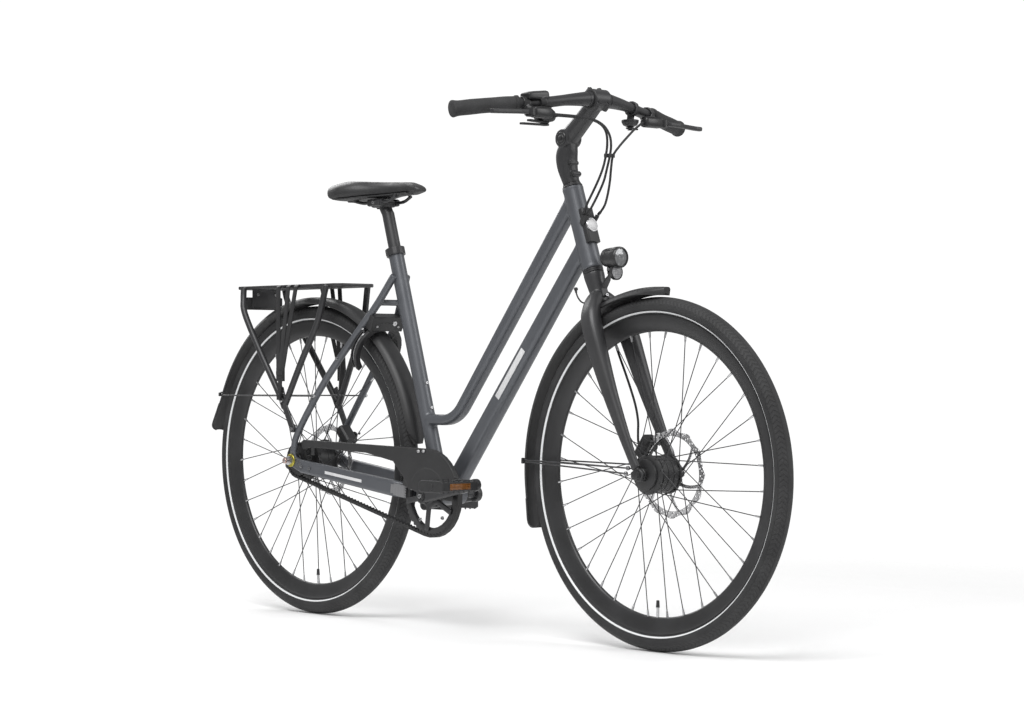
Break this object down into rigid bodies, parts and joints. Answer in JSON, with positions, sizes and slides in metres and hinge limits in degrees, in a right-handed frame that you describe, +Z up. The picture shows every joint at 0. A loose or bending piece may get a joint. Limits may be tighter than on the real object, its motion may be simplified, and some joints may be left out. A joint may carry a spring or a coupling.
{
  "type": "step-through city bicycle",
  "caption": "Step-through city bicycle with belt drive, hub gears, hub dynamo lamp, disc brakes, rear rack, mudguards and ring lock.",
  "frame": {"origin": "on the ground under the middle of the wheelbase, in the bicycle's middle plane", "axes": "+X forward, +Y to the rider's left, +Z up"},
  "size_m": [1.8168, 0.6456, 1.1304],
  "materials": {
    "slate_paint": "satin slate powder coat",
    "black_paint": "satin black",
    "black_plastic": "moulded black",
    "rubber": "matt black",
    "tyre": "black tread with a reflective side band",
    "leather": "matt black cover",
    "steel": "brushed",
    "alloy": "satin",
    "dark_steel": "dark",
    "red_lens": "red"
  },
  "bodies": {
    "frame": {"frame": "slate_paint", "head_plate": "black_plastic", "headset_bearing": "black_paint", "bottom_bracket": "alloy", "belt_guard": "black_plastic", "rear_caliper": "alloy", "rear_axle": "steel", "rear_mudguard": "black_paint", "rack": "black_paint", "rack_straps": "rubber", "rear_light": "red_lens", "ring_lock": "black_plastic", "seat_clamp": "black_paint", "belt": "rubber", "lamp_cable": "rubber"},
    "steer": {"fork": "slate_paint", "headset_cover": "black_paint", "stem_base": "black_paint", "front_mudguard": "black_paint", "lamp_bracket": "black_paint", "front_caliper": "alloy", "front_axle": "steel", "front_caliper_hose": "rubber"},
    "bar": {"stem_arm": "black_paint", "handlebar": "black_paint", "grip_right": "rubber", "grip_left": "rubber", "brake_perch_right": "black_paint", "brake_perch_left": "black_paint", "shifter": "black_plastic", "bell": "black_paint", "shift_cable": "rubber", "rear_brake_hose": "rubber", "front_brake_hose": "rubber"},
    "brake_lever_right": {"brake_blade_right": "black_paint"},
    "brake_lever_left": {"brake_blade_left": "black_paint"},
    "shift_up": {"shift_lever_up": "black_plastic"},
    "shift_down": {"shift_lever_down": "black_plastic"},
    "bell_thumb": {"bell_lever": "black_plastic"},
    "lamp": {"lamp": "black_paint"},
    "front_wheel": {"front_tyre": "tyre", "front_rim": "black_paint", "front_hub": "alloy", "front_rotor": "steel"},
    "rear_wheel": {"rear_tyre": "tyre", "rear_rim": "black_paint", "rear_hub": "black_paint", "rear_rotor": "steel"},
    "crank": {"crank_right": "black_paint", "crank_left": "black_paint", "belt_ring": "black_paint"},
    "sprocket": {"sprocket": "dark_steel"},
    "pedal_right": {"pedal_right": "black_plastic"},
    "pedal_left": {"pedal_left": "black_plastic"},
    "seat": {"seat_post": "black_paint", "saddle_cushion": "leather", "saddle_base": "black_plastic"},
    "clamp_lever": {"seat_clamp_lever": "black_paint"},
    "shackle": {"lock_shackle": "steel"},
    "stand": {"kickstand": "black_paint"}
  },
  "joints": [
    {"name": "steering", "type": "hinge", "parent": "frame", "child": "steer", "pos_m": [0.37133, 0, 0.76297], "axis": [-0.3297, 0, 0.9441], "range_deg": [-60, 60], "deforming": ["shift_cable", "rear_brake_hose", "front_brake_hose", "lamp_cable"]},
    {"name": "stem_angle", "type": "hinge", "parent": "steer", "child": "bar", "pos_m": [0.29964, 0, 1.03346], "axis": [0, -1, 0], "range_deg": [-25, 35]},
    {"name": "front_wheel_spin", "type": "hinge", "parent": "steer", "child": "front_wheel", "pos_m": [0.55637, 0, 0.352], "axis": [0, 1, 0], "continuous": true},
    {"name": "rear_wheel_spin", "type": "hinge", "parent": "frame", "child": "rear_wheel", "pos_m": [-0.53663, 0, 0.352], "axis": [0, 1, 0], "continuous": true},
    {"name": "crank_spin", "type": "hinge", "parent": "frame", "child": "crank", "pos_m": [-0.07163, 0, 0.288], "axis": [0, 1, 0], "continuous": true, "deforming": ["belt"]},
    {"name": "sprocket_spin", "type": "hinge", "parent": "frame", "child": "sprocket", "pos_m": [-0.53663, -0.048, 0.352], "axis": [0, 1, 0], "continuous": true},
    {"name": "pedal_right_spin", "type": "hinge", "parent": "crank", "child": "pedal_right", "pos_m": [0.09578, -0.15, 0.31752], "axis": [0, 1, 0], "continuous": true},
    {"name": "pedal_left_spin", "type": "hinge", "parent": "crank", "child": "pedal_left", "pos_m": [-0.23905, 0.15, 0.25848], "axis": [0, 1, 0], "continuous": true},
    {"name": "brake_right", "type": "hinge", "parent": "bar", "child": "brake_lever_right", "pos_m": [0.38496, -0.188, 1.06997], "axis": [0, 0, -1], "range_deg": [0, 18], "stiffness_Nm_per_rad": 0.6, "springref_deg": -5.73},
    {"name": "brake_left", "type": "hinge", "parent": "bar", "child": "brake_lever_left", "pos_m": [0.38496, 0.188, 1.06997], "axis": [0, 0, 1], "range_deg": [0, 18], "stiffness_Nm_per_rad": 0.6, "springref_deg": -5.73},
    {"name": "shift_up_press", "type": "hinge", "parent": "bar", "child": "shift_up", "pos_m": [0.36082, -0.124, 1.06838], "axis": [0, 0, 1], "range_deg": [0, 20], "stiffness_Nm_per_rad": 0.3, "springref_deg": -5.73},
    {"name": "shift_down_press", "type": "hinge", "parent": "bar", "child": "shift_down", "pos_m": [0.36082, -0.124, 1.06838], "axis": [0, 0, 1], "range_deg": [0, 20], "stiffness_Nm_per_rad": 0.3, "springref_deg": -5.73},
    {"name": "bell_press", "type": "hinge", "parent": "bar", "child": "bell_thumb", "pos_m": [0.36678, 0.112, 1.07501], "axis": [0, 0, -1], "range_deg": [0, 25], "stiffness_Nm_per_rad": 0.3, "springref_deg": -5.73},
    {"name": "lamp_tilt", "type": "hinge", "parent": "steer", "child": "lamp", "pos_m": [0.42737, 0, 0.762], "axis": [0, 1, 0], "range_deg": [-12, 15]},
    {"name": "seat_post_slide", "type": "slide", "parent": "frame", "child": "seat", "axis": [-0.2883, 0, 0.9575], "range_m": [-0.07, 0.08]},
    {"name": "seat_clamp_release", "type": "hinge", "parent": "frame", "child": "clamp_lever", "pos_m": [-0.28263, 0.014, 0.816], "axis": [0, 0, 1], "range_deg": [0, 80]},
    {"name": "lock_close", "type": "hinge", "parent": "frame", "child": "shackle", "pos_m": [-0.32313, 0, 0.6048], "axis": [0.9078, 0, -0.4195], "range_deg": [0, 96]},
    {"name": "stand_fold", "type": "hinge", "parent": "frame", "child": "stand", "pos_m": [-0.45263, 0.09, 0.326], "axis": [-0.0629, -0.9363, -0.3454], "range_deg": [0, 89]}
  ],
  "couplings": [
    {"joint": "sprocket_spin", "follows": "crank_spin", "ratio": 2.2727}
  ]
}
